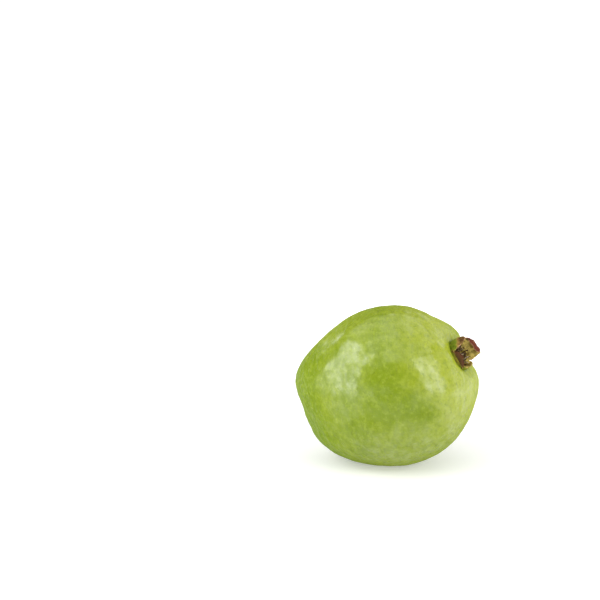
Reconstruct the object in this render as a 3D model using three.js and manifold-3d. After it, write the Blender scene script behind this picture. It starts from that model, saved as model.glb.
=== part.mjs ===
// A whole guava, picked, lying on its side on a small flat spot.
// Millimetres and degrees, +Z up. The origin is on the flat spot, under the middle of the fruit.
import * as THREE from 'three';
import { mergeVertices } from 'three/addons/utils/BufferGeometryUtils.js';
import Module from 'manifold-3d';

// The fruit's body
const WAIST_RADIUS = 37.9;
const CALYX_HALF = 39.4;
const STALK_HALF = 41.4;
const CALYX_BLUNTNESS = 2.2;
const STALK_BLUNTNESS = 1.7;
const CALYX_BASIN_DEPTH = 3.4;
const CALYX_BASIN_WIDTH = 0.25;
const STALK_PIT_DEPTH = 3.0;
const STALK_PIT_WIDTH = 0.13;

// How it lies: its axis rises from the stalk end to the calyx, and its middle is this high
const AXIS_TILT = 27.5;
const HEART_HEIGHT = 36.4;
const FLAT_SOFTNESS = 0.4;

// How finely the skin is divided, round the axis and from end to end
const AROUND_STEPS = 60;
const ALONG_STEPS = 42;

// Corners that are closer than this are one corner
const WELD_DISTANCE = 1e-4;

// Broad swellings and hollows: place as degrees from the calyx and degrees round the axis
// (0 away from the front, 90 on top, 180 in front), height, and spread in degrees
const SWELLINGS = [
  { from: 28, around: -46, height: 1.1, spread: 9 },
  { from: 20, around: -8, height: -1.6, spread: 10 },
  { from: 23, around: 28, height: 3.6, spread: 10 },
  { from: 30, around: -50, height: 2.0, spread: 14 },
  { from: 35, around: 50, height: -1.5, spread: 22 },
  { from: 75, around: -90, height: 1.4, spread: 24 },
  { from: 95, around: 90, height: -0.9, spread: 24 },
  { from: 110, around: -100, height: -0.6, spread: 24 },
  { from: 125, around: 100, height: 1.4, spread: 24 },
  { from: 140, around: -115, height: 0.8, spread: 24 },
  { from: 145, around: 120, height: 4.9, spread: 16 },
  { from: 155, around: -150, height: 2.0, spread: 24 },
  { from: 160, around: 150, height: -2.3, spread: 12 },
];

// Soft ribs from end to end: place round the axis at the waist, height, half width, and how
// far the rib drifts round for each degree along
const RIBS = [
  { around: 124, height: 0.9, width: 13, drift: 0.48 },
  { around: 176, height: -0.5, width: 16, drift: 0.1 },
  { around: -148, height: 0.6, width: 16, drift: -0.1 },
  { around: -55, height: 0.7, width: 15, drift: -0.15 },
  { around: 0, height: 0.9, width: 17, drift: 0.1 },
  { around: 48, height: 0.8, width: 15, drift: 0.2 },
];

// The calyx: a short cup, set in a socket, with sepals that stand on its rim
const CALYX_SEAT = 36.6;
const SOCKET_DEPTH = 1.8;
const SOCKET_REACH = 6;
const FIT_GAP = 0.3;
const CUP_RADIUS = 7.4;
const CUP_RIM_RADIUS = 7.5;
const CUP_RIM_ROUND = 0.4;
const CUP_WALL = 1.5;
const CUP_FLOOR = 0.6;
const CUP_HEIGHT = 2.1;
const CUP_HOLLOW_ROUND = 0.8;
const CUP_SIDES = 32;

// What all sepals share: where they stand on the cup, their thickness, how much of the width is
// left at the tip, how late it narrows, and how much its curve across flattens on the way up
const SEPAL_ROOT_RADIUS = 6.8;
const SEPAL_ROOT_HEIGHT = 0.9;
const SEPAL_THICKNESS = 1.3;
const SEPAL_TIP_THICKNESS = 0.8;
const SEPAL_EDGE_THINNING = 0.2;
const SEPAL_TIP_WIDTH = 0.16;
const SEPAL_TAPER_POWER = 2.2;
const SEPAL_FLATTENING = 0.45;
const SEPAL_STEPS = 8;

// Each sepal: place round the axis, half width, length, lean outwards at root and at tip,
// how far its tip is drawn sideways, and how blunt the tip is
const SEPALS = [
  { around: 106, halfWidth: 5.0, length: 6.6, leanRoot: 4, leanTip: -18, skew: 0.7, blunt: 0.34 },
  { around: 10, halfWidth: 6.4, length: 10.0, leanRoot: 4, leanTip: -30, skew: -1.0, blunt: 0.40 },
  { around: -86, halfWidth: 4.9, length: 2.6, leanRoot: 6, leanTip: 16, skew: 0.2, blunt: 0.34 },
  { around: 190, halfWidth: 4.9, length: 4.0, leanRoot: -30, leanTip: -92, skew: 0.4, blunt: 0.45 },
];

// Dried stamens round the style, on a low ring that stands in the cup
const STAMEN_SEED = 41;
const STAMEN_RING_RADIUS = 4.0;
const STAMEN_RING_HEIGHT = 0.9;
const STAMEN_RING_ROUND = 0.4;
const STAMEN_RING_SIDES = 24;
const STAMEN_COUNT = 18;
const STAMEN_FOOT = 1.2;
const STAMEN_FOOT_SPREAD = 1.1;
const STAMEN_LEAN = -10;
const STAMEN_LEAN_SPREAD = 14;
const STAMEN_LENGTH = 3.4;
const STAMEN_SHORTEST = 0.6;
const STAMEN_THICKNESS = 0.7;
const STYLE_LENGTH = 5.2;
const STYLE_LEAN = 6;
const STYLE_THICKNESS = 1.05;
const THREAD_SIDES = 5;

// The dry end of the stalk, in a pit at the other pole
const STALK_RADIUS = 2.2;
const STALK_END_RADIUS = 1.9;
const STALK_ROOT = 3.0;
const STALK_PROUD = 1.6;
const STALK_RAGGED = 0.25;
const STALK_SIDES = 14;
const STALK_HOLE_SIDES = 20;
const STALK_HOLE_REACH = 4;

const wasm = await Module();
wasm.setup();

const radians = THREE.MathUtils.degToRad;
const ALONG = new THREE.Vector3(Math.cos(radians(AXIS_TILT)), 0, Math.sin(radians(AXIS_TILT)));
const SIDE = new THREE.Vector3(0, 1, 0);
const OVER = new THREE.Vector3().crossVectors(ALONG, SIDE);

// Turns local X, Y, Z into away, over and along the fruit's axis
const AXIS_TURN = new THREE.Matrix4().makeBasis(SIDE, OVER, ALONG);

function direction(from, around) {
  const away = Math.sin(radians(from));
  const turn = radians(around);
  return new THREE.Vector3(away * Math.cos(turn), away * Math.sin(turn), Math.cos(radians(from)));
}

function smoothBump(spot, centre, height, spread) {
  return height * Math.exp((spot.dot(centre) - 1) / radians(spread) ** 2);
}

function wrapDegrees(angle) {
  return THREE.MathUtils.euclideanModulo(angle + 180, 360) - 180;
}

const SWELLING_SPOTS = SWELLINGS.map((s) => ({ ...s, centre: direction(s.from, s.around) }));

// Distance from the heart to the skin: a blunt spheroid, with its swellings, its ribs, the
// basin round the calyx and the pit round the stalk. The direction is in the axis frame.
function skinRadius(spot) {
  const along = spot.z;
  const across = Math.sqrt(Math.max(0, 1 - along * along));
  const half = along > 0 ? CALYX_HALF : STALK_HALF;
  const bluntness = along > 0 ? CALYX_BLUNTNESS : STALK_BLUNTNESS;
  const ends = (Math.abs(along) / half) ** bluntness;
  const waist = (across / WAIST_RADIUS) ** bluntness;
  let radius = (ends + waist) ** (-1 / bluntness);
  for (const s of SWELLING_SPOTS) {
    radius += smoothBump(spot, s.centre, s.height, s.spread);
  }
  const from = THREE.MathUtils.radToDeg(Math.acos(THREE.MathUtils.clamp(along, -1, 1)));
  const around = THREE.MathUtils.radToDeg(Math.atan2(spot.y, spot.x));
  for (const rib of RIBS) {
    const offset = wrapDegrees(around - rib.around - rib.drift * (from - 90)) / rib.width;
    radius += rib.height * across ** 2 * Math.exp(-offset * offset);
  }
  if (along > 0) {
    radius -= CALYX_BASIN_DEPTH * Math.exp(-((across / CALYX_BASIN_WIDTH) ** 2));
  } else {
    radius -= STALK_PIT_DEPTH * Math.exp(-((across / STALK_PIT_WIDTH) ** 2));
  }
  return radius;
}

// Height above the ground, pressed flat where the skin would go below it
function restOnGround(height) {
  if (height < -FLAT_SOFTNESS) return 0;
  if (height > FLAT_SOFTNESS) return height;
  return (height + FLAT_SOFTNESS) ** 2 / (4 * FLAT_SOFTNESS);
}

function toSolid(geometry) {
  const bare = geometry.clone();
  bare.deleteAttribute('normal');
  bare.deleteAttribute('uv');
  const merged = mergeVertices(bare, WELD_DISTANCE);
  return new wasm.Manifold(new wasm.Mesh({
    numProp: 3,
    vertProperties: new Float32Array(merged.attributes.position.array),
    triVerts: new Uint32Array(merged.index.array),
  }));
}

function toGeometry(solid) {
  const mesh = solid.getMesh();
  const geometry = new THREE.BufferGeometry();
  geometry.setAttribute('position', new THREE.BufferAttribute(mesh.vertProperties, 3));
  geometry.setIndex(new THREE.BufferAttribute(mesh.triVerts, 1));
  geometry.computeVertexNormals();
  return geometry;
}

// A round bar or hole on the local Z axis, from one height to another
function roundBar(radius, bottom, top, sides, topRadius = radius) {
  const bar = new THREE.CylinderGeometry(topRadius, radius, top - bottom, sides);
  bar.rotateX(Math.PI / 2);
  bar.translate(0, 0, (top + bottom) / 2);
  return bar;
}

// Levels along the axis: where the skin meets the stalk, and where the stalk's hole ends
const STALK_FACE = -skinRadius(new THREE.Vector3(0, 0, -1));
const STALK_BED = STALK_FACE + STALK_ROOT + FIT_GAP;

// The body, pressed flat where it lies, with a socket for the calyx and a hole for the stalk
function makeFruit() {
  const skin = new THREE.SphereGeometry(1, AROUND_STEPS, ALONG_STEPS);
  skin.rotateX(Math.PI / 2);
  const place = skin.attributes.position;
  const spot = new THREE.Vector3();
  for (let i = 0; i < place.count; i += 1) {
    spot.fromBufferAttribute(place, i).normalize();
    spot.multiplyScalar(skinRadius(spot));
    spot.applyMatrix4(AXIS_TURN);
    spot.z = restOnGround(spot.z + HEART_HEIGHT) - HEART_HEIGHT;
    place.setXYZ(i, spot.x, spot.y, spot.z);
  }
  const socketBottom = CALYX_SEAT - SOCKET_DEPTH;
  const socketTop = CALYX_SEAT + SOCKET_REACH;
  const socket = roundBar(CUP_RIM_RADIUS + FIT_GAP, socketBottom, socketTop, CUP_SIDES);
  socket.applyMatrix4(AXIS_TURN);
  const holeBottom = STALK_FACE - STALK_HOLE_REACH;
  const hole = roundBar(STALK_RADIUS + FIT_GAP, holeBottom, STALK_BED, STALK_HOLE_SIDES);
  hole.applyMatrix4(AXIS_TURN);
  return toGeometry(toSolid(skin).subtract(toSolid(socket)).subtract(toSolid(hole)));
}

// A thin closed blade from a middle surface: both faces have their triangles alike
function makeBlade(middle, thickness, columns, rows) {
  const place = [];
  const step = 1e-3;
  for (const face of [1, -1]) {
    for (let row = 0; row <= rows; row += 1) {
      for (let column = 0; column <= columns; column += 1) {
        const u = (2 * column) / columns - 1;
        const v = row / rows;
        const acrossStep = middle(u + step, v).sub(middle(u - step, v));
        const alongStep = middle(u, v + step).sub(middle(u, v - step));
        const normal = acrossStep.cross(alongStep).normalize();
        const point = middle(u, v).addScaledVector(normal, (face * thickness(u, v)) / 2);
        place.push(point.x, point.y, point.z);
      }
    }
  }
  const wide = columns + 1;
  const other = wide * (rows + 1);
  const index = [];
  for (let row = 0; row < rows; row += 1) {
    for (let column = 0; column < columns; column += 1) {
      const a = row * wide + column;
      const b = a + 1;
      const c = a + wide;
      const d = c + 1;
      index.push(a, b, d, a, d, c);
      index.push(other + a, other + d, other + b, other + a, other + c, other + d);
    }
  }
  const edge = [];
  for (let column = 0; column < columns; column += 1) edge.push(column);
  for (let row = 0; row < rows; row += 1) edge.push(row * wide + columns);
  for (let column = columns; column > 0; column -= 1) edge.push(rows * wide + column);
  for (let row = rows; row > 0; row -= 1) edge.push(row * wide);
  edge.forEach((a, i) => {
    const b = edge[(i + 1) % edge.length];
    index.push(a, other + a, other + b, a, other + b, b);
  });
  const blade = new THREE.BufferGeometry();
  blade.setAttribute('position', new THREE.BufferAttribute(new Float32Array(place), 3));
  blade.setIndex(index);
  return blade;
}

// A sepal's middle line leans steadily from root to tip, and its width bends round the cup
function makeSepal(sepal) {
  const turn = radians(sepal.around);
  const leanRoot = radians(sepal.leanRoot);
  const bend = radians(sepal.leanTip - sepal.leanRoot);
  function middle(u, v) {
    const lean = leanRoot + bend * v;
    const out = (sepal.length * (Math.cos(leanRoot) - Math.cos(lean))) / bend;
    const up = (sepal.length * (Math.sin(lean) - Math.sin(leanRoot))) / bend;
    const reach = THREE.MathUtils.clamp(v, 0, 1);
    const taper = Math.max(SEPAL_TIP_WIDTH, (1 - reach ** SEPAL_TAPER_POWER) ** sepal.blunt);
    const arc = (u * sepal.halfWidth * taper) / SEPAL_ROOT_RADIUS;
    const flatten = 1 - SEPAL_FLATTENING * v;
    const cup = SEPAL_ROOT_RADIUS * (1 - Math.cos(arc)) * flatten;
    const radial = SEPAL_ROOT_RADIUS + out - cup * Math.cos(lean);
    const level = SEPAL_ROOT_HEIGHT + up + cup * Math.sin(lean);
    const sideways = SEPAL_ROOT_RADIUS * Math.sin(arc) + sepal.skew * v * v;
    return new THREE.Vector3(
      radial * Math.cos(turn) - sideways * Math.sin(turn),
      radial * Math.sin(turn) + sideways * Math.cos(turn),
      level,
    );
  }
  function thickness(u, v) {
    const thinning = 1 - SEPAL_EDGE_THINNING * u * u;
    return THREE.MathUtils.lerp(SEPAL_THICKNESS, SEPAL_TIP_THICKNESS, v) * thinning;
  }
  return makeBlade(middle, thickness, SEPAL_STEPS, SEPAL_STEPS);
}

// The cup is a turned profile: foot, outer wall, rounded rim, then the hollow and its floor
function makeCalyx() {
  const foot = -SOCKET_DEPTH + FIT_GAP;
  const inner = CUP_RADIUS - CUP_WALL;
  const profile = [
    new THREE.Vector2(0, foot),
    new THREE.Vector2(CUP_RADIUS, foot),
    new THREE.Vector2(CUP_RADIUS, CUP_HEIGHT / 2),
    new THREE.Vector2(CUP_RIM_RADIUS, CUP_HEIGHT - CUP_RIM_ROUND),
    new THREE.Vector2(CUP_RIM_RADIUS - CUP_RIM_ROUND, CUP_HEIGHT),
    new THREE.Vector2(CUP_RIM_RADIUS - CUP_WALL, CUP_HEIGHT - CUP_RIM_ROUND / 2),
    new THREE.Vector2(inner, CUP_FLOOR + CUP_HOLLOW_ROUND),
    new THREE.Vector2(inner - CUP_HOLLOW_ROUND, CUP_FLOOR),
    new THREE.Vector2(0, CUP_FLOOR),
  ];
  const cup = new THREE.LatheGeometry(profile, CUP_SIDES);
  cup.rotateX(Math.PI / 2);
  let solid = toSolid(cup);
  for (const sepal of SEPALS) {
    solid = solid.add(toSolid(makeSepal(sepal)));
  }
  return toGeometry(solid);
}

// Seeded draws, the same on every run
function seededDraws(seed) {
  let state = seed;
  return () => {
    state = (state * 16807) % 2147483647;
    return state / 2147483647;
  };
}

// A dried thread that leans out as it rises, as a tapered bar
function makeThread(foot, turn, lean, length, thickness) {
  const thread = roundBar(thickness * 0.55, 0, length, THREAD_SIDES, thickness * 0.4);
  thread.rotateY(lean);
  thread.rotateZ(turn);
  thread.translate(foot * Math.cos(turn), foot * Math.sin(turn), STAMEN_RING_HEIGHT / 2);
  return thread;
}

function makeStamens() {
  const draw = seededDraws(STAMEN_SEED);
  const ringTop = STAMEN_RING_RADIUS - STAMEN_RING_ROUND;
  const ring = roundBar(STAMEN_RING_RADIUS, 0, STAMEN_RING_HEIGHT, STAMEN_RING_SIDES, ringTop);
  let solid = toSolid(ring);
  for (let i = 0; i < STAMEN_COUNT; i += 1) {
    const turn = ((i + 0.6 * draw()) / STAMEN_COUNT) * 2 * Math.PI;
    const foot = STAMEN_FOOT + STAMEN_FOOT_SPREAD * draw();
    const lean = radians(STAMEN_LEAN + STAMEN_LEAN_SPREAD * draw());
    const length = STAMEN_LENGTH * THREE.MathUtils.lerp(STAMEN_SHORTEST, 1, draw());
    const thread = makeThread(foot, turn, lean, length, STAMEN_THICKNESS);
    solid = solid.add(toSolid(thread));
  }
  const style = makeThread(0, 0, radians(STYLE_LEAN), STYLE_LENGTH, STYLE_THICKNESS);
  return toGeometry(solid.add(toSolid(style)));
}

// A short stub, ragged where the stalk broke off
function makeStalkEnd() {
  const stub = roundBar(STALK_RADIUS, -STALK_ROOT, STALK_PROUD, STALK_SIDES, STALK_END_RADIUS);
  const place = stub.attributes.position;
  const draw = seededDraws(STAMEN_SEED + 1);
  const broadTurn = 2 * Math.PI * draw();
  const fineTurn = 2 * Math.PI * draw();
  for (let i = 0; i < place.count; i += 1) {
    if (place.getZ(i) > 0) {
      const turn = Math.atan2(place.getY(i), place.getX(i));
      const away = Math.hypot(place.getX(i), place.getY(i)) / STALK_RADIUS;
      const ragged = Math.sin(turn + broadTurn) + 0.6 * Math.sin(3 * turn + fineTurn);
      place.setZ(i, STALK_PROUD + STALK_RAGGED * away * ragged);
    }
  }
  return stub;
}

function finish(name, geometry, color, roughness) {
  const material = new THREE.MeshStandardMaterial({ color, roughness, metalness: 0 });
  const mesh = new THREE.Mesh(geometry, material);
  mesh.name = name;
  return mesh;
}

const guava = new THREE.Group();

const fruit = finish('fruit', makeFruit(), 0x96a745, 0.45);
fruit.position.set(0, 0, HEART_HEIGHT);
guava.add(fruit);

const blossomEnd = new THREE.Group();
blossomEnd.quaternion.setFromRotationMatrix(AXIS_TURN);
blossomEnd.position.set(0, 0, HEART_HEIGHT).addScaledVector(ALONG, CALYX_SEAT);
blossomEnd.add(finish('calyx', makeCalyx(), 0x6b4a2c, 0.75));
const stamens = finish('stamens', makeStamens(), 0x3a2616, 0.85);
stamens.position.set(0, 0, CUP_FLOOR + FIT_GAP);
blossomEnd.add(stamens);
guava.add(blossomEnd);

const stemEnd = new THREE.Group();
stemEnd.quaternion.setFromRotationMatrix(AXIS_TURN);
stemEnd.rotateX(Math.PI);
stemEnd.position.set(0, 0, HEART_HEIGHT).addScaledVector(ALONG, STALK_FACE);
stemEnd.add(finish('stalk_end', makeStalkEnd(), 0x7a6242, 0.85));
guava.add(stemEnd);

export default guava;
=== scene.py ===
import bpy
import numpy as np
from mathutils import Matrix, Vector


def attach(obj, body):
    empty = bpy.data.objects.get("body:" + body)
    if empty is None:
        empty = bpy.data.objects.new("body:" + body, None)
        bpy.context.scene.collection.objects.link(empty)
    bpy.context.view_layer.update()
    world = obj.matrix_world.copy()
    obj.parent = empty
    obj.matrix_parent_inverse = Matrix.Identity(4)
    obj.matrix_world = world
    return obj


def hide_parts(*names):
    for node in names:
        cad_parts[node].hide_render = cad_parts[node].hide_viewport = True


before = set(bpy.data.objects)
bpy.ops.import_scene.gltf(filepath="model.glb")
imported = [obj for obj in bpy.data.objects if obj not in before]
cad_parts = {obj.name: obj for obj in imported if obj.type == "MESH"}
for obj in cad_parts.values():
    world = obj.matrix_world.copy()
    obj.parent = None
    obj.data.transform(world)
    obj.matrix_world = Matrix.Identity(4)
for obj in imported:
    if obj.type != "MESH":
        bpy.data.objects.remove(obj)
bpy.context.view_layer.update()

# %% [markdown]
# ## Lengths and places
# Shapes are worked out in millimetres in the fruit's own frame: X away from the front, Y over the
# top, Z along the fruit towards the calyx. One function then turns them into the model's frame, in
# metres. The driving values are the same as the solids', so the surfaces meet them everywhere.
# %% Driving values
WAIST_RADIUS = 37.9
CALYX_HALF = 39.4
STALK_HALF = 41.4
CALYX_BLUNTNESS = 2.2
STALK_BLUNTNESS = 1.7
CALYX_BASIN = (3.4, 0.25)
STALK_PIT = (3.0, 0.13)
AXIS_TILT = np.radians(27.5)
HEART_HEIGHT = 36.4
FLAT_SOFTNESS = 0.4
CALYX_SEAT = 36.6

# degrees from the calyx, degrees round the axis, height, spread in degrees
SWELLINGS = [
    (28, -46, 1.1, 9),
    (20, -8, -1.6, 10),
    (23, 28, 3.6, 10),
    (30, -50, 2.0, 14),
    (35, 50, -1.5, 22),
    (75, -90, 1.4, 24),
    (95, 90, -0.9, 24),
    (110, -100, -0.6, 24),
    (125, 100, 1.4, 24),
    (140, -115, 0.8, 24),
    (145, 120, 4.9, 16),
    (155, -150, 2.0, 24),
    (160, 150, -2.3, 12),
]

# place round the axis at the waist, height, half width, drift round for each degree along
RIBS = [
    (124, 0.9, 13, 0.48),
    (176, -0.5, 16, 0.1),
    (-148, 0.6, 16, -0.1),
    (-55, 0.7, 15, -0.15),
    (0, 0.9, 17, 0.1),
    (48, 0.8, 15, 0.2),
]

ALONG = np.array([np.cos(AXIS_TILT), 0.0, np.sin(AXIS_TILT)])
SIDE = np.array([0.0, 1.0, 0.0])
OVER = np.cross(ALONG, SIDE)
TURN = np.array([SIDE, OVER, ALONG])


def to_metres(points):
    """Own frame to model frame: each point is the sum of its X, Y, Z times SIDE, OVER, ALONG,
    raised by the height of the heart, and divided by a thousand."""
    return (points @ TURN + np.array([0.0, 0.0, HEART_HEIGHT])) / 1000.0


# %% [markdown]
# ## Seeded noise
# Skin and dried leaf are never even. A gradient noise on a lattice gives every point of space a
# smooth value between about -1 and 1, the same on every run, and dividing the points by a
# wavelength first sets the size of its lumps.
# %% Gradient noise in numpy
def lattice_draw(cells, seed, channel):
    """A whole number per cell, mixed by multiplying and shifting its bits, scaled to -1..1."""
    key = cells.astype(np.int64) * np.array([374761393, 668265263, 2147483629])
    mixed = (key.sum(-1) + seed * 1442695041 + channel * 1013904223) & 0xFFFFFFFF
    mixed = ((mixed ^ (mixed >> 13)) * 1274126177) & 0xFFFFFFFF
    mixed = ((mixed ^ (mixed >> 16)) * 2246822519) & 0xFFFFFFFF
    return ((mixed ^ (mixed >> 15)) & 0xFFFFFF) / float(0x7FFFFF) - 1.0


def noise(points, seed):
    """Each corner of a point's cell has a slope of its own: the eight slopes' heights at the point
    are blended by the curve 6t^5 - 15t^4 + 10t^3 along each edge."""
    base = np.floor(points)
    inside = points - base
    fade = inside**3 * (inside * (inside * 6 - 15) + 10)
    total = np.zeros(points.shape[:-1])
    for corner in np.ndindex(2, 2, 2):
        step = np.array(corner)
        slope = np.stack([lattice_draw(base + step, seed, c) for c in range(3)], -1)
        weight = np.prod(np.where(step == 1, fade, 1 - fade), axis=-1)
        total += weight * ((inside - step) * slope).sum(-1)
    return total * 1.4


def smoothstep(value, low, high):
    """0 below low, 1 above high, and 3t^2 - 2t^3 between them."""
    t = np.clip((value - low) / (high - low), 0.0, 1.0)
    return t * t * (3 - 2 * t)


# %% [markdown]
# ## From arrays to meshes
# A surface is an array of points and an array of four-cornered faces. Every mesh is made in one
# call from those arrays, and each value that a material will read goes in as a named attribute.
# %% Mesh helpers
def grid_faces(rows, columns, wrap):
    """Corner numbers of the faces of a grid stored row by row; wrap joins the last column to
    the first."""
    row, column = np.meshgrid(np.arange(rows - 1), np.arange(columns - (not wrap)), indexing="ij")
    after = (column + 1) % columns
    corners = [row * columns + column, row * columns + after]
    corners += [(row + 1) * columns + after, (row + 1) * columns + column]
    return np.stack(corners, -1).reshape(-1, 4)


def new_piece(name, points, faces, material, values=None):
    """A smooth mesh object at the origin. faces is a list of arrays, each n by 3 or n by 4."""
    mesh = bpy.data.meshes.new(name)
    mesh.from_pydata(points.tolist(), [], [f for part in faces for f in part.tolist()])
    mesh.validate()
    mesh.polygons.foreach_set("use_smooth", np.ones(len(mesh.polygons), bool))
    for key, value in (values or {}).items():
        attribute = mesh.attributes.new(key, "FLOAT", "POINT")
        attribute.data.foreach_set("value", value.astype(np.float32))
    mesh.materials.append(material)
    piece = bpy.data.objects.new(name, mesh)
    bpy.context.scene.collection.objects.link(piece)
    return piece


def volume_of(piece):
    """Signed volume in cubic centimetres, from the triangles' corners: a sixth of a . (b x c)."""
    mesh = piece.data
    mesh.calc_loop_triangles()
    corners = np.zeros(len(mesh.loop_triangles) * 3, np.int32)
    mesh.loop_triangles.foreach_get("vertices", corners)
    places = np.zeros(len(mesh.vertices) * 3, np.float32)
    mesh.vertices.foreach_get("co", places)
    a, b, c = places.reshape(-1, 3)[corners].reshape(-1, 3, 3).transpose(1, 0, 2)
    return float((a * np.cross(b, c)).sum() / 6 * 1e6)


# %% Material helpers
class Finish:
    """A material with a Principled shader, and short calls that add and join its nodes."""

    def __init__(self, name):
        self.material = bpy.data.materials.new(name)
        self.material.use_nodes = True
        self.tree = self.material.node_tree
        self.shader = self.tree.nodes["Principled BSDF"]
        self.place = self.tree.nodes.new("ShaderNodeTexCoord").outputs["Object"]

    def add(self, kind, **inputs):
        node = self.tree.nodes.new("ShaderNode" + kind)
        for key, value in inputs.items():
            self.feed(node.inputs[key.replace("_", " ")], value)
        return node

    def feed(self, socket, value):
        if isinstance(value, bpy.types.NodeSocket):
            self.tree.links.new(value, socket)
        else:
            socket.default_value = value

    def noise(self, scale, detail=2.0, roughness=0.5, vector=None):
        source = vector or self.place
        node = self.add("TexNoise", Vector=source, Scale=scale, Detail=detail, Roughness=roughness)
        return node.outputs["Fac"]

    def attribute(self, name):
        node = self.tree.nodes.new("ShaderNodeAttribute")
        node.attribute_name = name
        return node.outputs["Fac"]

    def remap(self, value, low, high, to_low=0.0, to_high=1.0):
        node = self.add("MapRange", Value=value, From_Min=low, From_Max=high, To_Min=to_low, To_Max=to_high)
        node.interpolation_type = "SMOOTHSTEP"
        return node.outputs["Result"]

    def math(self, operation, first, second):
        node = self.tree.nodes.new("ShaderNodeMath")
        node.operation = operation
        self.feed(node.inputs[0], first)
        self.feed(node.inputs[1], second)
        return node.outputs[0]

    def mix(self, factor, first, second, blend="MIX"):
        node = self.tree.nodes.new("ShaderNodeMix")
        node.data_type = "RGBA"
        node.blend_type = blend
        self.feed(node.inputs["Factor"], factor)
        self.feed(node.inputs["A"], first)
        self.feed(node.inputs["B"], second)
        return node.outputs["Result"]

    def bump(self, height, strength, distance, normal=None):
        node = self.add("Bump", Height=height, Strength=strength, Distance=distance)
        if normal is not None:
            self.feed(node.inputs["Normal"], normal)
        return node.outputs["Normal"]

    def set(self, **inputs):
        for key, value in inputs.items():
            self.feed(self.shader.inputs[key.replace("_", " ")], value)


# %% [markdown]
# ## The skin's shape
# A guava is a blunt spheroid with broad swellings, soft ribs and a basin round the calyx, like a
# pear with no neck. It could be sculpted, or a sphere could be displaced by textures. Here the
# distance from the heart to the skin is one formula of the direction, the same as the solid's,
# with fine relief added: low lumps, a pebbled grain, and puckers that run into the calyx.
# %% Distance from heart to skin
def direction(polar, around):
    """Unit directions: sin(polar) cos(around), sin(polar) sin(around), cos(polar)."""
    away = np.sin(polar)
    return np.stack([away * np.cos(around), away * np.sin(around), np.cos(polar)], -1)


def body_radius(spot):
    """(|z|/half)^n + (across/waist)^n = 1/r^n gives the spheroid; to r come h e^((cos a - 1)/s^2)
    for each swelling, h across^2 e^-(offset/width)^2 for each rib, and the end hollows."""
    along = spot[..., 2]
    across = np.sqrt(np.clip(1 - along**2, 0, 1))
    half = np.where(along > 0, CALYX_HALF, STALK_HALF)
    blunt = np.where(along > 0, CALYX_BLUNTNESS, STALK_BLUNTNESS)
    radius = ((np.abs(along) / half) ** blunt + (across / WAIST_RADIUS) ** blunt) ** (-1 / blunt)
    for polar, around, height, spread in SWELLINGS:
        centre = direction(np.radians(polar), np.radians(around))
        radius += height * np.exp((spot @ centre - 1) / np.radians(spread) ** 2)
    polar = np.degrees(np.arccos(np.clip(along, -1, 1)))
    around = np.degrees(np.arctan2(spot[..., 1], spot[..., 0]))
    for middle, height, width, drift in RIBS:
        offset = (around - middle - drift * (polar - 90) + 180) % 360 - 180
        radius += height * across**2 * np.exp(-((offset / width) ** 2))
    basin, pit = (depth * np.exp(-((across / width) ** 2)) for depth, width in (CALYX_BASIN, STALK_PIT))
    return radius - np.where(along > 0, basin, pit)


# wavelength and height in millimetres, and seed
LUMPS = [(17, 0.42, 3), (8, 0.20, 5), (3.6, 0.11, 9), (2.1, 0.035, 14)]


def skin_relief(points):
    """The sum of noise at the wavelengths of LUMPS, each times its height, and near each end a noise that changes fast round
    the axis and slowly outwards, which draws the skin into puckers."""
    reach = np.hypot(points[..., 0], points[..., 1])
    turn = points[..., :2] / np.maximum(reach, 0.5)[..., None]
    relief = sum(height * noise(points / length, seed) for length, height, seed in LUMPS)
    for end, count, height, spread in ((1, 2.6, 0.24, 8.0), (-1, 3.0, 0.5, 5.0)):
        lines = noise(np.concatenate([turn * count, reach[..., None] / 14 + end], -1), 12 + end)
        near = np.exp(-(((reach - 7.5) / spread) ** 2)) * (points[..., 2] * end > 0)
        relief += height * near * lines
    return relief


def rest_on_ground(height):
    """0 below -s, the height above s, and (height + s)^2 / 4s between: pressed flat with a soft edge."""
    s = FLAT_SOFTNESS
    soft = (height + s) ** 2 / (4 * s)
    return np.where(height > s, height, np.where(height < -s, 0.0, soft))


# degrees from the calyx, degrees round the axis, spread in degrees, strength; darker patches, of which the last three,
# on the stalk-end flank, are painted shade
DARK_PATCHES_AND_PAINTED_SHADE = [
    (78, 165, 9, 0.7),
    (72, -174, 9, 0.8),
    (60, -160, 9, 1.0),
    (88, -170, 8, 0.7),
    (105, -166, 9, 0.9),
    (43, 152, 6, 0.6),
    (131, 130, 11, 1.1),
    (141, 147, 11, 1.1),
    (122, 112, 9, 0.9),
]


def dark_patch_and_painted_shade_strength(spot, points):
    """The sum of strength e^((cos a - 1)/s^2) over the dark patches, made ragged by noise, then turned
    into a soft-edged 0..1. The last three patches are painted shade on the stalk-end flank."""
    total = 0.30 * noise(points / 7.0, 81) + 0.22 * noise(points / 2.6, 82)
    for polar, around, spread, strength in DARK_PATCHES_AND_PAINTED_SHADE:
        centre = direction(np.radians(polar), np.radians(around))
        total += strength * np.exp((spot @ centre - 1) / np.radians(spread) ** 2)
    return smoothstep(total, 0.15, 1.0)


# %% Skin surface
AROUND_STEPS = 380
ALONG_STEPS = 256


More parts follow.
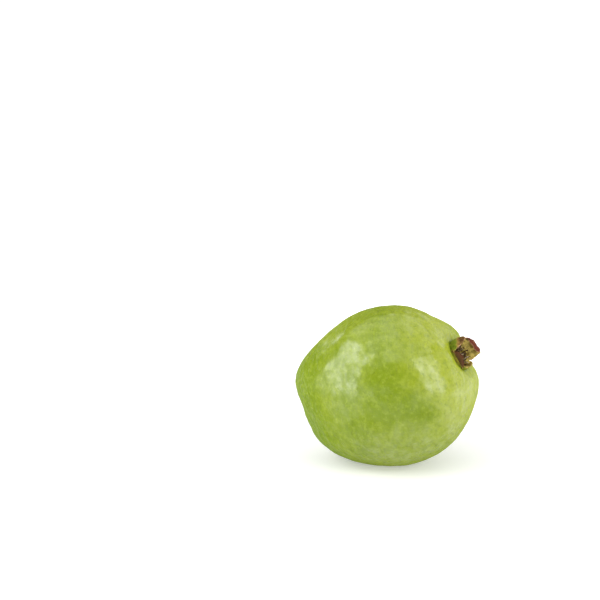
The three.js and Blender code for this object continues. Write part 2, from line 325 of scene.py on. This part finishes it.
def skin_surface():
    """Rings from the calyx to the stalk, closer near both ends, closed by a fan at each pole."""
    share = np.linspace(0, 1, ALONG_STEPS + 1)[1:-1]
    polar = np.pi * share - 0.3 * np.sin(2 * np.pi * share)
    around = np.linspace(0, 2 * np.pi, AROUND_STEPS, endpoint=False)
    spot = direction(*np.meshgrid(polar, around, indexing="ij")).reshape(-1, 3)
    spot = np.vstack([[0, 0, 1.0], spot, [0, 0, -1.0]])
    points = spot * body_radius(spot)[:, None]
    relief = skin_relief(points)
    placed = to_metres(points + spot * relief[:, None])
    placed[:, 2] = rest_on_ground(placed[:, 2] * 1000) / 1000
    faces = grid_faces(len(polar), AROUND_STEPS, True)[:, ::-1] + 1
    ring = np.arange(AROUND_STEPS)
    after = (ring + 1) % AROUND_STEPS
    last = 1 + (len(polar) - 1) * AROUND_STEPS
    top = np.stack([np.zeros_like(ring), 1 + ring, 1 + after], -1)
    bottom = np.stack([np.full_like(ring, len(spot) - 1), last + after, last + ring], -1)
    values = {"along": points[:, 2] / CALYX_HALF, "relief": relief, "reach": np.hypot(points[:, 0], points[:, 1])}
    values["blotch"] = dark_patch_and_painted_shade_strength(spot, points)
    return placed, [faces, top, bottom], values


# %% [markdown]
# ## The skin's finish
# Ripe skin is waxy: light goes a little way in, which softens it, and the wax gives a broad, dull
# shine. The green isn't even. It pales towards the calyx, is mottled at a few millimetres, and
# carries tiny pale pores. Noise at several scales does all of that, and the grain that is finer
# than the mesh is bump. Light and shade are painted in as well: paler on raised relief and darker
# in the hollows, darker in a ring round the calyx, and darker patches, of which the ones on the
# stalk-end flank are painted shade.
# %% Skin material
DEEP_GREEN = (0.162, 0.230, 0.008, 1)
MID_GREEN = (0.224, 0.288, 0.010, 1)
PALE_GREEN = (0.345, 0.392, 0.026, 1)
PORE_GREEN = (0.400, 0.460, 0.060, 1)
STALK_GREEN = (0.125, 0.200, 0.002, 1)
FLECK_GREEN = (0.315, 0.390, 0.046, 1)
# a darker green for the dark patches, which on the stalk-end flank are painted shade, and for dark speckle
DARK_PATCH_AND_PAINTED_SHADE_GREEN = (0.148, 0.216, 0.006, 1)
# a darker green painted as shade in the crease round the calyx
PAINTED_CREASE_SHADE_GREEN = (0.120, 0.185, 0.006, 1)


def skin_finish():
    f = Finish("guava_skin")
    patches = f.remap(f.noise(28, 2.0, 0.55), 0.35, 0.68)
    mottle = f.remap(f.noise(190, 3.0, 0.6), 0.34, 0.68)
    speckle = f.noise(420, 3.0, 0.6)
    grain = f.remap(f.noise(700, 2.0, 0.6), 0.36, 0.66)
    along = f.attribute("along")
    blotch = f.attribute("blotch")
    colour = f.mix(patches, DEEP_GREEN, MID_GREEN)
    colour = f.mix(f.math("MULTIPLY", mottle, 0.25), colour, FLECK_GREEN)
    # painted light and shade: raised relief is mixed towards pale green and the hollows are left darker
    colour = f.mix(f.remap(f.attribute("relief"), -0.35, 0.55, 0.0, 0.20), colour, PALE_GREEN)
    colour = f.mix(f.remap(along, 0.35, 0.95, 0.0, 0.85), colour, PALE_GREEN)
    colour = f.mix(f.remap(along, -0.90, -0.45, 0.85, 0.0), colour, STALK_GREEN)
    # darker green patches from the patch attribute; on the stalk-end flank they are painted shade
    colour = f.mix(f.math("MULTIPLY", blotch, 0.65), colour, DARK_PATCH_AND_PAINTED_SHADE_GREEN)
    colour = f.mix(f.remap(speckle, 0.50, 0.66, 0.0, 0.34), colour, FLECK_GREEN)
    colour = f.mix(f.remap(speckle, 0.34, 0.50, 0.40, 0.0), colour, DARK_PATCH_AND_PAINTED_SHADE_GREEN)
    colour = f.mix(f.math("MULTIPLY", grain, 0.20), colour, DEEP_GREEN)
    pores = f.add("TexVoronoi", Vector=f.place, Scale=430.0, Randomness=1.0)
    dots = f.remap(pores.outputs["Distance"], 0.10, 0.26, 1.0, 0.0)
    some = f.remap(f.noise(300, 1.0), 0.48, 0.60)
    colour = f.mix(f.math("MULTIPLY", f.math("MULTIPLY", dots, some), 0.15), colour, PORE_GREEN)
    # painted shade in the crease round the calyx: the ring of skin just outside the cup is mixed towards a darker
    # green
    painted_crease_shade = f.math("MULTIPLY", f.remap(f.attribute("reach"), 7.4, 8.6, 0.75, 0.0), f.remap(along, 0.8, 0.86))
    colour = f.mix(painted_crease_shade, colour, PAINTED_CREASE_SHADE_GREEN)
    edge = f.add("LayerWeight", Blend=0.5).outputs["Facing"]
    wax = f.math("MULTIPLY", f.remap(along, -0.72, -0.20, 0.15, 1.0), f.remap(mottle, 0.0, 1.0, 0.60, 1.0))
    wax = f.math("MULTIPLY", wax, f.remap(blotch, 0.0, 1.0, 1.0, 0.45))
    wax = f.math("MULTIPLY", wax, f.remap(edge, 0.42, 0.88, 1.0, 0.06))
    rough = f.math("ADD", f.remap(mottle, 0.0, 1.0, 0.22, 0.30), f.remap(edge, 0.50, 0.95, 0.0, 0.35))
    turned = f.add("Mapping", Vector=f.place, Rotation=(0.0, AXIS_TILT, 0.0)).outputs["Vector"]
    drawn = f.add("Mapping", Vector=turned, Scale=(2.3, 1.0, 1.0)).outputs["Vector"]
    crinkle = f.noise(150, 3.0, 0.55, drawn)
    wax = f.math("MULTIPLY", wax, f.remap(crinkle, 0.36, 0.60, 0.55, 1.0))
    normal = f.bump(crinkle, 0.85, 0.0016)
    normal = f.bump(f.noise(400, 2.0, 0.55), 0.70, 0.0009, normal)
    normal = f.bump(f.noise(1100, 2.0, 0.5), 0.35, 0.0002, normal)
    f.set(Base_Color=colour, Normal=normal, Roughness=rough)
    f.set(Subsurface_Weight=0.10, Subsurface_Radius=(1.0, 0.8, 0.25), Subsurface_Scale=0.002)
    f.set(Coat_Weight=wax, Coat_Roughness=0.21, Coat_IOR=1.68, IOR=1.30, Specular_IOR_Level=0.1)
    return f.material


fruit = new_piece("guava_fruit", *skin_surface()[:2], skin_finish(), skin_surface()[2])
print("fruit", len(fruit.data.polygons), "faces,", round(volume_of(fruit), 1), "cubic centimetres")

# %% [markdown]
# ## The calyx
# The flower's green cup stays on the fruit and dries there. Its rim tore into four sepals when the
# flower opened: each is a thick, leathery tongue, green at its root and brown at its tip, and they
# curl and fold as they dry. Solidify on flat leaves would give even walls. Instead both faces of
# the wall are worked out, one ring that divides into four tongues, so the cup stays one closed skin.
# %% Sepals
CUP_RADIUS = 6.8
CUP_RIM = 1.5
CUP_SQUASH = 0.94
SEPAL_ROWS = 64
SEPAL_COLUMNS = 52

# around, half: place on the rim and half width, in degrees
# margin: height of the torn edge, from one side to the other
# lean: outwards, at the root and the tip; roll: more of it near the edge, where rolled begins
# pull: sideways shift of the tip; taper: how fast it narrows; crumple: size of its dents
# dry: how dried at the root and the tip; shaded: painted shade, added to the dryness on one side so
# that side browns darker; red, edge: how red, and how pale at the margin
SEPALS = [
    dict(
        around=10, half=54, margin=(3.2, 10.4, 10.2, 9.7, 9.0), lean=(5, -14), roll=-135, rolled=(-0.75, -0.30),
        pull=-1.3, taper=0.05, crumple=0.32, dry=(0.1, 0.75), shaded=0.55, red=1.5, edge=0.7,
    ),
    dict(
        around=106, half=42, margin=(5.6, 6.0, 6.1, 5.7, 5.0), lean=(6, -8), roll=-10, rolled=(-3, -2),
        pull=0.2, taper=0.26, crumple=0.30, dry=(-0.1, 0.90), shaded=0, red=0.1, edge=0.9,
    ),
    dict(
        around=190, half=42, margin=(2.0, 3.0, 3.2, 2.6, 2.0), lean=(-30, -95), roll=-30, rolled=(-3, -2),
        pull=0.6, taper=0.40, crumple=1.2, dry=(1.3, 1.7), shaded=0, red=0.4, edge=0.1,
    ),
    dict(
        around=274, half=42, margin=(1.2, 1.7, 2.1, 2.6, 2.9), lean=(8, 12), roll=-5, rolled=(-3, -2),
        pull=0.2, taper=0.10, crumple=0.18, dry=(0.1, 0.35), shaded=0, red=0, edge=0.2,
    ),
]


def ring_point(turn, radius, level):
    """radius cos(turn), radius sin(turn), level."""
    return np.stack([radius * np.cos(turn), radius * np.sin(turn), level + 0 * turn], -1)


def sepal_middle(sepal, seed):
    """The middle line leaves the rim at one lean and ends at another, with a roll near the tip; its
    points are the running sums of sin and cos of the lean. Across it the width follows the cup's
    round, less so towards the tip, and shrinks by (1 - v^2.4)^blunt. Noise crumples the result."""
    v, u = np.meshgrid(np.linspace(0, 1, SEPAL_ROWS), np.linspace(-1, 1, SEPAL_COLUMNS), indexing="ij")
    ragged = noise(np.stack([u * 2.6, 0 * u, 0 * u + seed], -1), 21)
    fine = noise(np.stack([u * 9, 0 * u, 0 * u + seed], -1), 22)
    stations = np.linspace(-1, 1, len(sepal["margin"]))
    length = np.interp(u, stations, sepal["margin"]) * (1 + 0.09 * ragged + 0.05 * fine)
    root, tip = sepal["lean"]
    roll = sepal["roll"] * smoothstep(v, 0.62, 0.96) * smoothstep(u, *sepal["rolled"])
    lean = np.radians(root + (tip - root) * v + roll)
    step = length / (SEPAL_ROWS - 1)
    start = np.zeros((1, SEPAL_COLUMNS))
    out = np.vstack([start, np.cumsum(np.sin(lean[1:]) * step[1:], axis=0)])
    up = np.vstack([start, np.cumsum(np.cos(lean[1:]) * step[1:], axis=0)])
    taper = np.maximum(0.22, (1 - np.minimum(v, 0.999) ** 2.4) ** sepal["taper"])
    arc = u * np.radians(sepal["half"]) * taper
    cup = CUP_RADIUS * (1 - np.cos(arc)) * (1 - 0.4 * v)
    radial = CUP_RADIUS + out - cup * np.cos(lean)
    sideways = CUP_RADIUS * np.sin(arc) + sepal["pull"] * v**2
    turn = np.radians(sepal["around"])
    points = np.stack(
        [
            radial * np.cos(turn) - sideways * np.sin(turn),
            radial * np.sin(turn) + sideways * np.cos(turn),
            CUP_RIM + up + cup * np.sin(lean),
        ],
        -1,
    )
    dents = ((3.2, 1.0, 0), (1.3, 0.45, 3), (0.6, 0.12, 6))
    shift = sum(
        share * np.stack([noise(points / size + seed, c + step) for c in (31, 32, 33)], -1)
        for size, share, step in dents
    )
    points += sepal["crumple"] * smoothstep(v, 0.02, 0.5)[..., None] * shift
    return points, u, v


def surface_normals(points):
    """The cross product of the steps along the columns and along the rows, made of unit length."""
    across = np.gradient(points, axis=1)
    along = np.gradient(points, axis=0)
    normal = np.cross(across, along)
    return normal / np.maximum(np.linalg.norm(normal, axis=-1, keepdims=True), 1e-9)


# %% Cup and sepals as one closed skin
OUTER_FOOT = [(6.8, -1.6), (7.05, -0.9), (7.2, -0.3), (7.3, 0.3), (7.42, 0.9)]
INNER_WALL = [(6.0, 1.2), (5.5, 0.9), (4.9, 0.55), (4.1, 0.35), (3.0, 0.3), (1.5, 0.3)]


def calyx_surface():
    """Outside: rings from the foot to the rim, then four tongues that share the rim's points.
    Inside: the same tongues, then rings down the wall to the floor. One strip joins both edges."""
    points, faces, dry, red, pale, inner_side = [], [], [], [], [], []
    count = 0
    turns = []
    for sepal in SEPALS:
        columns = np.linspace(-1, 1, SEPAL_COLUMNS)[:-1]
        turns.append(np.radians(sepal["around"] + sepal["half"] * columns))
    turns = np.concatenate(turns)
    total = len(turns)
    wobble = noise(np.stack([np.cos(turns) * 2, np.sin(turns) * 2, 0 * turns], -1), 44)
    edges = []
    for side, profile in ((1, OUTER_FOOT), (-1, INNER_WALL)):
        rim = ring_point(turns, CUP_RADIUS + side * 0.72, CUP_RIM)
        rings = [ring_point(turns, r * (1 + 0.015 * wobble), z + 0.12 * wobble * (z > 0)) for r, z in profile]
        rings = rings + [rim] if side > 0 else [rim] + rings
        grid = grid_faces(len(rings), total, True)
        faces.append(grid + count)
        points += rings
        end = np.concatenate(rings)
        foot_dry = 0.38 * np.clip(-np.cos(turns), 0, 1) ** 2 if side > 0 else 0.9 + 0 * turns
        dry.append(np.tile(foot_dry, len(rings)))
        red.append(np.zeros(len(end)))
        pale.append(np.zeros(len(end)))
        inner_side.append(np.full(len(end), float(side < 0)))
        rim_start = count + (len(rings) - 1) * total if side > 0 else count
        pole_ring = count if side > 0 else count + (len(rings) - 1) * total
        count += len(end)
        pole = np.array([[0, 0, profile[0][1] - 0.1 if side > 0 else profile[-1][1]]])
        points.append(pole)
        dry.append([0.9])
        red.append([0.0])
        pale.append([0.0])
        inner_side.append([float(side < 0)])
        ring = np.arange(total)
        after = (ring + 1) % total
        fan = np.stack([np.full(total, count), pole_ring + after, pole_ring + ring], -1)
        faces.append(fan if side > 0 else fan[:, ::-1])
        count += 1
        edge = []
        for k, sepal in enumerate(SEPALS):
            middle, u, v = sepal_middle(sepal, 5.3 * k + 1.7)
            normal = surface_normals(middle)
            straight = ring_point(np.radians(sepal["around"] + sepal["half"] * u), 1.0, 0.0)
            normal = normal + (straight - normal) * (1 - smoothstep(v, 0.0, 0.12))[..., None]
            normal /= np.linalg.norm(normal, axis=-1, keepdims=True)
            edge_thin = 1 - 0.62 * smoothstep(np.abs(u), 0.72, 1.0) * smoothstep(v, 0.0, 0.2)
            tip_thin = 1 - 0.5 * smoothstep(v, 0.8, 1.0)
            wall = (1.44 - 0.55 * smoothstep(v, 0.0, 0.6)) * edge_thin * tip_thin
            veins = noise(np.stack([u * 11, v * 2.5, 0 * u + k + 3 * side], -1), 52)
            tongue = middle + normal * (side * wall / 2 + 0.07 * veins * smoothstep(v, 0.05, 0.3))[..., None]
            first = k * (SEPAL_COLUMNS - 1)
            base = rim_start + (first + np.arange(SEPAL_COLUMNS)) % total
            numbers = np.vstack([base, count + np.arange((SEPAL_ROWS - 1) * SEPAL_COLUMNS).reshape(-1, SEPAL_COLUMNS)])
            a, b, c, d = numbers[:-1, :-1], numbers[:-1, 1:], numbers[1:, 1:], numbers[1:, :-1]
            quads = np.stack([a, b, c, d], -1).reshape(-1, 4)
            faces.append(quads if side > 0 else quads[:, ::-1])
            points.append(tongue[1:].reshape(-1, 3))
            low, high = sepal["dry"]
            # painted shade: shaded adds dryness on one side of a sepal, so that side is coloured browner
            shaded = sepal["shaded"] * smoothstep(u, 0.0, 0.8) * smoothstep(v, 0.05, 0.5)
            dry.append((low + (high - low) * smoothstep(v, 0.1, 0.75) + shaded)[1:].ravel())
            red.append((sepal["red"] * smoothstep(v, 0.2, 0.6))[1:].ravel())
            rim = np.maximum(smoothstep(v, 0.95, 1.0), smoothstep(np.abs(u), 0.86, 1.0) * smoothstep(v, 0.2, 0.5))
            pale.append((sepal["edge"] * rim)[1:].ravel())
            inner_side.append(np.full(v[1:].size, float(side < 0)))
            count += v[1:].size
            edge += [numbers[:, 0], numbers[-1, 1:-1], numbers[::-1, -1]]
        edges.append(np.concatenate(edge))
    outside, inside = edges
    keep = np.concatenate([[True], (outside[1:] != outside[:-1])])
    outside, inside = outside[keep], inside[keep]
    outside, inside = outside[:-1], inside[:-1]
    strip = np.stack([outside, np.roll(outside, -1), np.roll(inside, -1), inside], -1)
    faces.append(strip)
    place = np.concatenate([np.asarray(p, float) for p in points])
    place[:, 0] *= CUP_SQUASH
    place[:, 2] += CALYX_SEAT
    values = {"dry": np.concatenate(dry), "red": np.concatenate(red), "inner": np.concatenate(inner_side)}
    values["pale"] = np.concatenate(pale)
    return to_metres(place), faces, values


# %% Calyx material
SEPAL_GREEN = (0.165, 0.235, 0.010, 1)
SEPAL_OLIVE = (0.330, 0.300, 0.035, 1)
SEPAL_TAN = (0.330, 0.200, 0.048, 1)
SEPAL_BROWN = (0.066, 0.032, 0.006, 1)
SEPAL_RED = (0.150, 0.034, 0.022, 1)
SEPAL_EDGE = (0.480, 0.275, 0.150, 1)
SEPAL_INSIDE = (0.740, 0.590, 0.150, 1)
SEPAL_SHADE = (0.260, 0.190, 0.034, 1)


def calyx_finish():
    f = Finish("dried_sepal")
    patch = f.noise(330, 3.0, 0.6)
    fine = f.noise(1300, 3.0, 0.65)
    # the dry attribute also carries the painted shade from the sepals' shaded entry
    dry = f.math("ADD", f.attribute("dry"), f.remap(patch, 0.3, 0.7, -0.22, 0.22))
    outside = f.mix(f.remap(dry, 0.05, 0.40), SEPAL_GREEN, SEPAL_OLIVE)
    outside = f.mix(f.remap(dry, 0.35, 0.70), outside, SEPAL_TAN)
    outside = f.mix(f.remap(dry, 0.75, 1.05), outside, SEPAL_BROWN)
    outside = f.mix(f.math("MULTIPLY", f.attribute("red"), f.remap(patch, 0.15, 0.45)), outside, SEPAL_RED)
    inside = f.mix(f.remap(f.noise(380, 2.0, 0.6), 0.38, 0.64), SEPAL_INSIDE, SEPAL_SHADE)
    inside = f.mix(f.remap(dry, 0.80, 1.15), inside, SEPAL_BROWN)
    colour = f.mix(f.attribute("inner"), outside, inside)
    colour = f.mix(f.remap(fine, 0.35, 0.65, 0.35, 0.0), colour, SEPAL_BROWN)
    colour = f.mix(f.attribute("pale"), colour, SEPAL_EDGE)
    normal = f.bump(f.noise(700, 4.0, 0.65), 0.6, 0.0004)
    f.set(Base_Color=colour, Normal=normal, Roughness=f.remap(fine, 0.3, 0.7, 0.55, 0.8))
    f.set(Subsurface_Weight=0.08, Subsurface_Radius=(1.0, 0.6, 0.25), Subsurface_Scale=0.001)
    f.set(Specular_IOR_Level=0.12)
    return f.material


calyx_points, calyx_faces, calyx_values = calyx_surface()
calyx = new_piece("guava_calyx", calyx_points, calyx_faces, calyx_finish(), calyx_values)
print("calyx", len(calyx.data.polygons), "faces,", round(volume_of(calyx), 2), "cubic centimetres")

# %% [markdown]
# ## Stamens and style
# Inside the cup the stamens of the flower dry to a tuft of bent threads round the style. Each is a
# thin tube along a path that leans, sags and wanders, with a small swelling for its anther. All
# the tubes are worked out at once as one array: thread by ring by corner.
# %% Threads
THREAD_COUNT = 90
THREAD_RINGS = 16
THREAD_CORNERS = 6
STAMEN_FLOOR = 0.35


def thread_tubes():
    """Path: foot + length (s out + s up + wander), where wander grows as s^2. Ring radius: the
    thread's own, swollen by a bell curve at 0.97 for the anther. Corners lie on two axes that are
    at right angles to the path."""
    draw = np.random.default_rng(4)
    turn = draw.uniform(0, 2 * np.pi, THREAD_COUNT)
    foot = 4.2 * np.sqrt(draw.uniform(0.12, 1.0, THREAD_COUNT))
    lean = draw.normal(0.1, 0.32, THREAD_COUNT)
    length = draw.uniform(1.8, 4.4, THREAD_COUNT)
    thick = draw.uniform(0.10, 0.17, THREAD_COUNT)
    turn[0], foot[0], lean[0], length[0], thick[0] = 0.3, 0.0, 0.12, 5.6, 0.34
    turn[1], foot[1], lean[1], length[1], thick[1] = -2.14, 4.2, -0.40, 4.9, 0.20
    s = np.linspace(0, 1, THREAD_RINGS)
    out = np.stack([np.cos(turn), np.sin(turn), 0 * turn], -1)
    way = out * np.sin(lean)[:, None] + np.array([0, 0, 1.0]) * np.cos(lean)[:, None]
    path = out[:, None] * foot[:, None, None] + way[:, None] * (length[:, None] * s)[..., None]
    path[..., 2] += STAMEN_FLOOR - 0.2
    lookup = path / 1.9 + np.arange(THREAD_COUNT)[:, None, None] * 7.3
    wander = np.stack([noise(lookup, seed) for seed in (61, 62, 63)], -1)
    path += wander * (s**1.3)[None, :, None] * 1.1
    tangent = np.gradient(path, axis=1)
    tangent /= np.linalg.norm(tangent, axis=-1, keepdims=True)
    first = np.cross(tangent, np.array([0.9, 0.1, 0.2]))
    first /= np.linalg.norm(first, axis=-1, keepdims=True)
    second = np.cross(tangent, first)
    swell = 1 - 0.35 * s + 1.3 * np.exp(-(((s - 0.95) / 0.045) ** 2))
    swell = np.where(s > 0.999, 0.25, swell)
    radius = thick[:, None] * swell[None, :]
    corner = np.linspace(0, 2 * np.pi, THREAD_CORNERS, endpoint=False)
    ring = first[:, :, None] * np.cos(corner)[:, None] + second[:, :, None] * np.sin(corner)[:, None]
    points = path[:, :, None] + ring * radius[:, :, None, None]
    pale = np.clip(draw.normal(0.15, 0.25, THREAD_COUNT), 0, 1)
    pale[1] = 1.3
    return points, path, pale


def stamen_surface():
    """Every tube's rings joined by one set of face numbers, moved on by the size of a tube, with a
    fan at each end."""
    tubes, path, pale = thread_tubes()
    size = THREAD_RINGS * THREAD_CORNERS + 2
    places = np.concatenate([tubes.reshape(THREAD_COUNT, -1, 3), path[:, :1], path[:, -1:]], axis=1)
    side = grid_faces(THREAD_RINGS, THREAD_CORNERS, True)
    ring = np.arange(THREAD_CORNERS)
    after = (ring + 1) % THREAD_CORNERS
    last = (THREAD_RINGS - 1) * THREAD_CORNERS
    foot = np.stack([np.full_like(ring, size - 2), after, ring], -1)
    tip = np.stack([np.full_like(ring, size - 1), last + ring, last + after], -1)
    offset = (np.arange(THREAD_COUNT) * size)[:, None, None]
    faces = [(part[None] + offset).reshape(-1, part.shape[1]) for part in (side, foot, tip)]
    points = places.reshape(-1, 3)
    points[:, 0] *= CUP_SQUASH
    points[:, 2] += CALYX_SEAT
    return to_metres(points), faces, {"pale": np.repeat(pale, size)}


THREAD_DARK = (0.058, 0.029, 0.008, 1)
THREAD_PALE = (0.480, 0.390, 0.260, 1)


def stamen_finish():
    f = Finish("dried_stamen")
    tone = f.math("ADD", f.attribute("pale"), f.remap(f.noise(900, 2.0), 0.3, 0.7, -0.25, 0.25))
    colour = f.mix(f.remap(tone, 0.2, 0.9), THREAD_DARK, THREAD_PALE)
    f.set(Base_Color=colour, Roughness=0.75, Specular_IOR_Level=0.12)
    return f.material


stamen_points, stamen_faces, stamen_values = stamen_surface()
stamens = new_piece("guava_stamens", stamen_points, stamen_faces, stamen_finish(), stamen_values)
print("stamens", THREAD_COUNT, "threads,", len(stamens.data.polygons), "faces")

# %% [markdown]
# ## The stalk's dry end
# Where the fruit was picked, a stub of the stalk stays in its pit: a ridged woody bar with a
# collar at its foot and a torn, fibrous end. It is a profile turned round the axis, with ridges
# from noise in the turn, and a broken face whose height is noise as well.
# %% Stalk stub
STALK_SEAT = -float(body_radius(np.array([[0.0, 0.0, -1.0]]))[0])
STUB_COLUMNS = 120
STUB_PROFILE = [(2.35, 0.9), (2.75, 0.25), (2.8, -0.1), (2.45, -0.4), (2.2, -0.75), (2.1, -1.1), (2.05, -1.45)]
STUB_FACE = [(1.9, -1.65), (1.5, -1.6), (1.05, -1.5), (0.6, -1.55)]


def stalk_surface():
    """Rings along a profile of radius and level, resampled by straight lines; the radius is
    scaled by 1 + noise round the stalk, and the levels of the broken face are raised by noise."""
    profile = np.array(STUB_PROFILE + STUB_FACE)
    knots = np.arange(len(profile))
    fine = np.linspace(0, len(profile) - 1, 90)
    radius = np.interp(fine, knots, profile[:, 0])
    level = np.interp(fine, knots, profile[:, 1])
    turn = np.linspace(0, 2 * np.pi, STUB_COLUMNS, endpoint=False)
    turn, radius = np.meshgrid(turn, radius)
    level = np.repeat(level[:, None], STUB_COLUMNS, axis=1)
    around = np.stack([np.cos(turn) * 3.2, np.sin(turn) * 3.2, level * 0.6], -1)
    radius = radius * (1 + 0.07 * noise(around, 71) + 0.03 * noise(around * 3, 72))
    face = smoothstep(-level, 1.3, 1.6)
    spot = ring_point(turn, radius, level)
    torn = 0.45 * noise(np.stack([spot[..., 0] * 1.1, spot[..., 1] * 1.1, 0 * turn], -1), 73)
    torn += 0.2 * noise(np.stack([spot[..., 0] * 3.5, spot[..., 1] * 3.5, 0 * turn], -1), 74)
    spot[..., 2] += STALK_SEAT - face * (0.15 + torn)
    rings = spot.shape[0]
    points = np.vstack([spot.reshape(-1, 3), [[0, 0, STALK_SEAT + 1.0]], spot[-1].mean(0)[None]])
    side = grid_faces(rings, STUB_COLUMNS, True)[:, ::-1]
    ring = np.arange(STUB_COLUMNS)
    after = (ring + 1) % STUB_COLUMNS
    last = (rings - 1) * STUB_COLUMNS
    foot = np.stack([np.full_like(ring, len(points) - 2), ring, after], -1)
    end = np.stack([np.full_like(ring, len(points) - 1), last + after, last + ring], -1)
    broken = np.concatenate([face.ravel(), [0.0, 1.0]])
    return to_metres(points), [side, foot, end], {"broken": broken}


BARK_BROWN = (0.120, 0.080, 0.045, 1)
BARK_GREY = (0.260, 0.210, 0.150, 1)
WOOD_PALE = (0.420, 0.320, 0.190, 1)


def stalk_finish():
    f = Finish("dry_stalk")
    bark = f.mix(f.remap(f.noise(700, 3.0, 0.6), 0.35, 0.65), BARK_BROWN, BARK_GREY)
    wood = f.mix(f.remap(f.noise(1500, 2.0, 0.6), 0.35, 0.65), WOOD_PALE, BARK_BROWN)
    colour = f.mix(f.attribute("broken"), bark, wood)
    f.set(Base_Color=colour, Roughness=0.85, Normal=f.bump(f.noise(1400, 3.0, 0.6), 0.7, 0.0003))
    return f.material


stalk_points, stalk_faces, stalk_values = stalk_surface()
stalk = new_piece("guava_stalk_end", stalk_points, stalk_faces, stalk_finish(), stalk_values)
print("stalk end", len(stalk.data.polygons), "faces,", round(volume_of(stalk), 3), "cubic centimetres")

# %% [markdown]
# ## Table, light and camera
# The fruit lies on a plain white table in soft studio light: one large soft box on the left, a
# smaller one on the right, and a pale room that fills in. The table also glows, least near the fruit
# and most further out: painted light, which leaves the floor round the fruit darker. The camera
# looks a little down on it.
# %% Table
TABLE_HALF = 9.0
TABLE_CORNERS = 96
SWEEP_START = 4.0
SWEEP_HEIGHT = 0.7


def table_finish():
    f = Finish("pale_table")
    f.set(Base_Color=f.mix(f.noise(3, 2.0), (0.74, 0.74, 0.735, 1), (0.77, 0.77, 0.765, 1)), Roughness=0.8)
    reach = f.add("VectorMath", Vector=f.place)
    reach.operation = "LENGTH"
    # painted light: the table glows, least near the fruit and most from 0.4 m out, so the floor round the fruit is
    # darker
    glow = f.remap(reach.outputs["Value"], 0.07, 0.40, 0.35, 0.95)
    f.set(Emission_Color=(1.0, 1.0, 1.0, 1), Emission_Strength=glow, Specular_IOR_Level=0.1)
    return f.material


def table_surface():
    """Rings round the fruit, each closer to the last by a fixed ratio inwards. The level is zero as
    far as SWEEP_START and rises by a smooth step to SWEEP_HEIGHT at the edge, like studio paper."""
    reach = np.concatenate([[0.15], np.geomspace(0.6, TABLE_HALF, 40)])
    turn = np.linspace(0, 2 * np.pi, TABLE_CORNERS, endpoint=False)
    turn, reach = np.meshgrid(turn, reach)
    level = SWEEP_HEIGHT * smoothstep(reach, SWEEP_START, TABLE_HALF)
    spot = ring_point(turn, reach, level)
    points = np.vstack([spot.reshape(-1, 3), [[0, 0, 0]]])
    ring = np.arange(TABLE_CORNERS)
    middle = np.stack([np.full_like(ring, len(points) - 1), ring, (ring + 1) % TABLE_CORNERS], -1)
    return points, [grid_faces(len(spot), TABLE_CORNERS, True)[:, ::-1], middle]


table = new_piece("table", *table_surface(), table_finish())
print("table normal", round(table.data.polygons[0].normal.z, 2), round(table.data.polygons[-1].normal.z, 2))

# %% Lights
HEART = Vector((0.0, 0.0, HEART_HEIGHT / 1000))


def compass(azimuth, elevation):
    """The unit way from the fruit to something at that azimuth (0 in front, 90 on +X) and height."""
    a, e = np.radians(azimuth), np.radians(elevation)
    return Vector((np.sin(a) * np.cos(e), -np.cos(a) * np.cos(e), np.sin(e)))


def soft_box(name, azimuth, elevation, distance, width, height, brightness):
    """A rectangle of light that faces the fruit. Its power is brightness times pi times its area."""
    lamp = bpy.data.lights.new(name, "AREA")
    lamp.shape = "RECTANGLE"
    lamp.size, lamp.size_y = width, height
    lamp.energy = brightness * np.pi * width * height
    holder = bpy.data.objects.new(name, lamp)
    way = compass(azimuth, elevation)
    holder.location = HEART + way * distance
    holder.rotation_euler = way.to_track_quat("Z", "Y").to_euler()
    bpy.context.scene.collection.objects.link(holder)


soft_box("left_soft_box", -54, 17, 1.2, 0.95, 1.6, 4.0)
soft_box("right_soft_box", 75, 23, 1.3, 0.95, 0.90, 3.8)
soft_box("rim_soft_box", -126, 22, 1.3, 0.24, 0.22, 3.5)
soft_box("side_panel", 130, 15, 2.0, 2.0, 1.2, 0.35)
soft_box("back_panel", 160, 24, 2.0, 1.6, 1.0, 0.9)
soft_box("top_panel", 10, 84, 1.5, 3.0, 3.0, 1.12)

world = bpy.data.worlds.new("pale_room")
world.use_nodes = True
world.node_tree.nodes["Background"].inputs["Color"].default_value = (1.0, 1.0, 1.0, 1)
world.node_tree.nodes["Background"].inputs["Strength"].default_value = 0.14
bpy.context.scene.world = world
bpy.context.scene.view_settings.view_transform = "Standard"

# %% Camera
CAMERA_AZIMUTH = 16.5
CAMERA_ELEVATION = 12.0
LENS = 90.0
SENSOR = 36.0
FRAME_PIXELS = 600
METRES_PER_PIXEL = 0.4706e-3
HEART_PIXEL = (388.0, 386.0)

back = compass(CAMERA_AZIMUTH, CAMERA_ELEVATION)
right = Vector((0, 0, 1)).cross(back).normalized()
up = back.cross(right)
distance = LENS / SENSOR * FRAME_PIXELS * METRES_PER_PIXEL
off_right, off_down = ((p - FRAME_PIXELS / 2) * METRES_PER_PIXEL for p in HEART_PIXEL)
camera = bpy.data.objects.new("camera", bpy.data.cameras.new("camera"))
camera.data.lens = LENS
camera.data.sensor_width = SENSOR
camera.location = HEART - right * off_right + up * off_down + back * distance
camera.rotation_euler = back.to_track_quat("Z", "Y").to_euler()
bpy.context.scene.collection.objects.link(camera)
bpy.context.scene.camera = camera
print("camera", round(distance, 3), "m from the fruit")

# %% [markdown]
# ## Joining the surfaces to the model
# Each new surface rides on the model's one body and stands for the solid that it dresses.
# %% Pieces and their nodes
DRESSED = [(fruit, "fruit", "skin"), (calyx, "calyx", "calyx"), (stamens, "stamens", "stamens"), (stalk, "stalk_end", "stalk")]
for piece, node, slot in DRESSED:
    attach(piece, "root")
    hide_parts(node)
